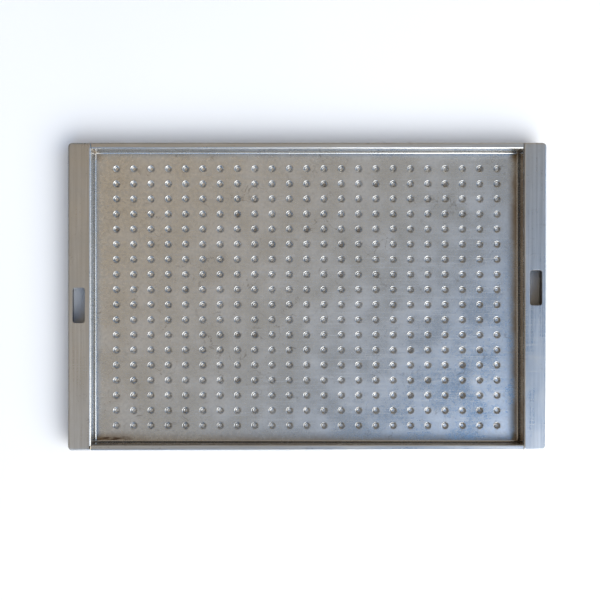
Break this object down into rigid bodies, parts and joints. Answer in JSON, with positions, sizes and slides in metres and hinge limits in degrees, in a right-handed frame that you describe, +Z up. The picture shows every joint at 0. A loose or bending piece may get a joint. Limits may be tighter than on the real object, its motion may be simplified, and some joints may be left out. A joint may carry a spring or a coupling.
{
  "type": "pill counting tray",
  "caption": "Shallow rectangular stainless steel tray with a grid of round dimples that each hold one tablet, and a wide end rail with a finger slot at each end.",
  "frame": {"origin": "centre of the tray's footprint, on the table that it stands on", "axes": "+X along the tray's length towards the right end rail, +Y towards the rear side rail, +Z up"},
  "size_m": [0.6096, 0.392, 0.025],
  "materials": {
    "rail_steel": "brushed along each rail's length",
    "floor_steel": "dull satin mill finish",
    "weld_steel": "as welded, lightly heat tinted"
  },
  "bodies": {
    "root": {"dimpled_floor_panel": "floor_steel", "left_end_rail": "rail_steel", "right_end_rail": "rail_steel", "front_side_rail": "rail_steel", "rear_side_rail": "rail_steel", "left_plug_welds": "weld_steel", "right_plug_welds": "weld_steel", "front_plug_welds": "weld_steel", "rear_plug_welds": "weld_steel", "front_left_corner_welds": "weld_steel", "front_right_corner_welds": "weld_steel", "rear_left_corner_welds": "weld_steel", "rear_right_corner_welds": "weld_steel"}
  },
  "joints": []
}
